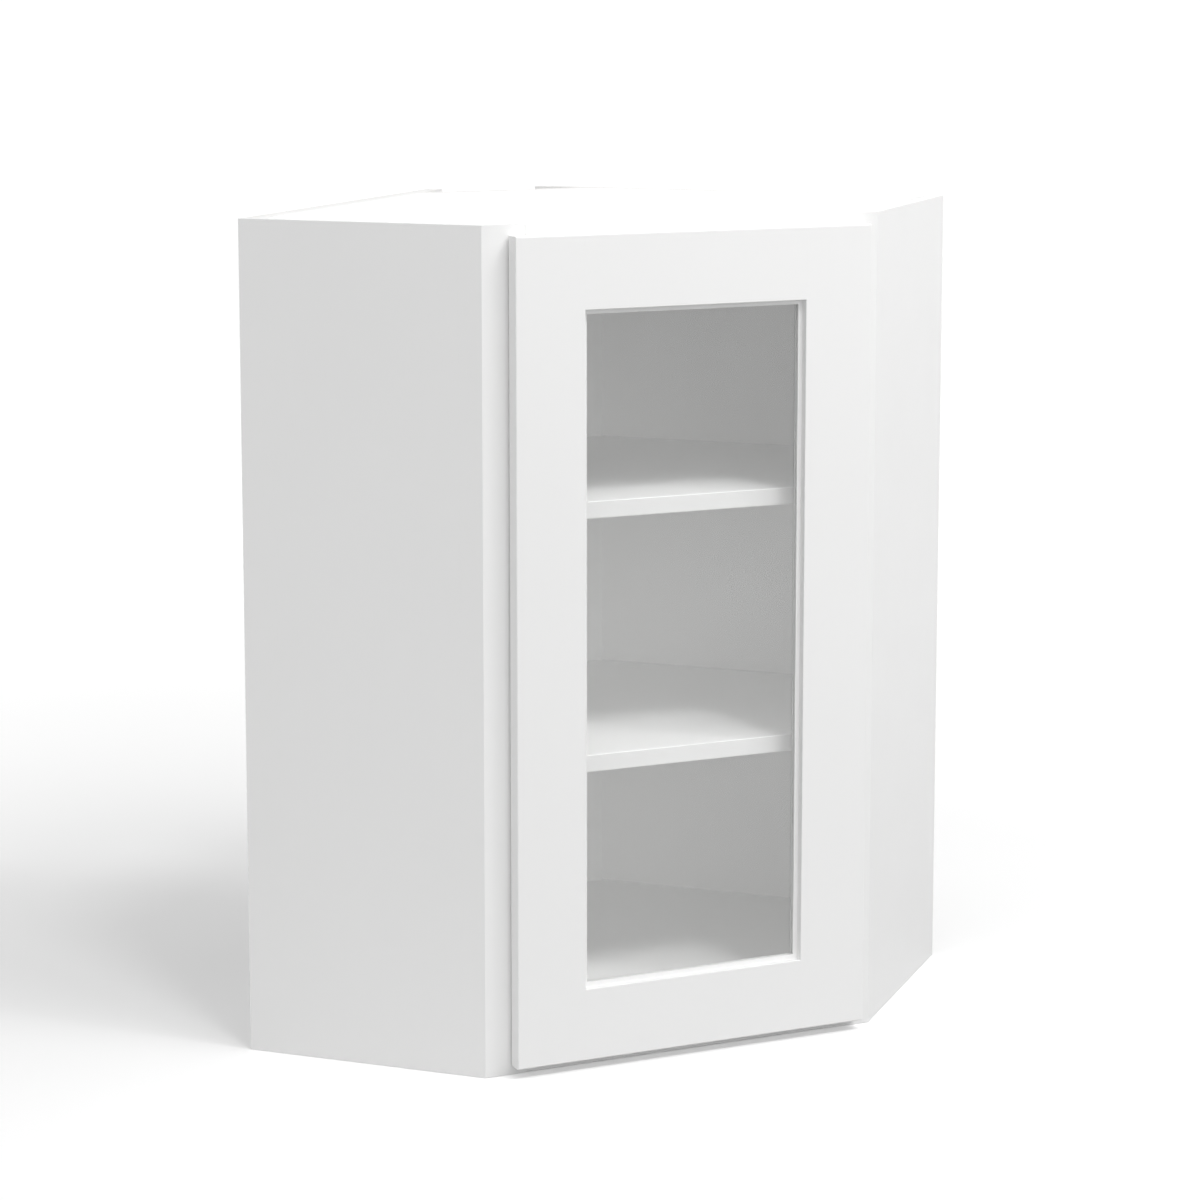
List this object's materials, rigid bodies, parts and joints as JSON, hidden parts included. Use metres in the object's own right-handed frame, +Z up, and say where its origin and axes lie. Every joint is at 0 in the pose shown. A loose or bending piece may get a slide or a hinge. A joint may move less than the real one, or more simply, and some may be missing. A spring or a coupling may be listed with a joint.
{
  "type": "corner wall cabinet",
  "caption": "White diagonal corner wall cabinet with a face frame, one framed glass door on concealed hinges, shelves and hanging rails for two walls.",
  "frame": {"origin": "middle of the plan outline, at the level of the lower rim", "axes": "+Z up, the door faces -Y, +X to the right when facing the door; the room corner is at x = 0, on the +Y side"},
  "size_m": [0.8622, 0.5754, 0.9144],
  "materials": {
    "cabinet_paint": "white satin paint on wood",
    "interior_paint": "white matte paint on plywood",
    "shelf_paint": "white satin paint on wood",
    "rail_wood": "white primed wood",
    "door_paint": "white satin paint on wood",
    "bead_paint": "white satin paint on wood",
    "clear_glass": "clear float glass",
    "bumper_plastic": "clear soft plastic",
    "hinge_nickel": "nickel plated steel",
    "pin_steel": "bright steel",
    "support_nickel": "nickel plated steel",
    "screw_steel": "zinc plated steel"
  },
  "bodies": {
    "case": {"frame_left_stile": "cabinet_paint", "frame_right_stile": "cabinet_paint", "frame_top_rail": "cabinet_paint", "frame_bottom_rail": "cabinet_paint", "left_side_panel": "cabinet_paint", "right_side_panel": "cabinet_paint", "top_panel": "interior_paint", "bottom_panel": "interior_paint", "left_back_panel": "interior_paint", "right_back_panel": "interior_paint", "corner_back_panel": "interior_paint", "lower_shelf": "shelf_paint", "upper_shelf": "shelf_paint", "left_lower_wall_rail": "rail_wood", "left_upper_wall_rail": "rail_wood", "right_lower_wall_rail": "rail_wood", "right_upper_wall_rail": "rail_wood", "lower_corner_rail": "rail_wood", "upper_corner_rail": "rail_wood", "lower_hinge_arm": "hinge_nickel", "lower_hinge_plate": "hinge_nickel", "upper_hinge_arm": "hinge_nickel", "upper_hinge_plate": "hinge_nickel", "lower_shelf_pins": "support_nickel", "upper_shelf_pins": "support_nickel", "lower_arm_screw": "screw_steel", "lower_plate_screws": "screw_steel", "upper_arm_screw": "screw_steel", "upper_plate_screws": "screw_steel"},
    "door": {"door_left_stile": "door_paint", "door_right_stile": "door_paint", "door_top_rail": "door_paint", "door_bottom_rail": "door_paint", "left_glass_bead": "bead_paint", "right_glass_bead": "bead_paint", "top_glass_bead": "bead_paint", "bottom_glass_bead": "bead_paint", "glass_pane": "clear_glass", "bumper_pads": "bumper_plastic", "lower_hinge_pin": "pin_steel", "upper_hinge_pin": "pin_steel", "lower_hinge_cup": "hinge_nickel", "upper_hinge_cup": "hinge_nickel", "lower_cup_screws": "screw_steel", "upper_cup_screws": "screw_steel"}
  },
  "joints": [
    {"name": "door_hinge", "type": "hinge", "parent": "case", "child": "door", "pos_m": [0.20854, -0.27666, 0.4572], "axis": [0, 0, 1], "range_deg": [0, 107]}
  ]
}
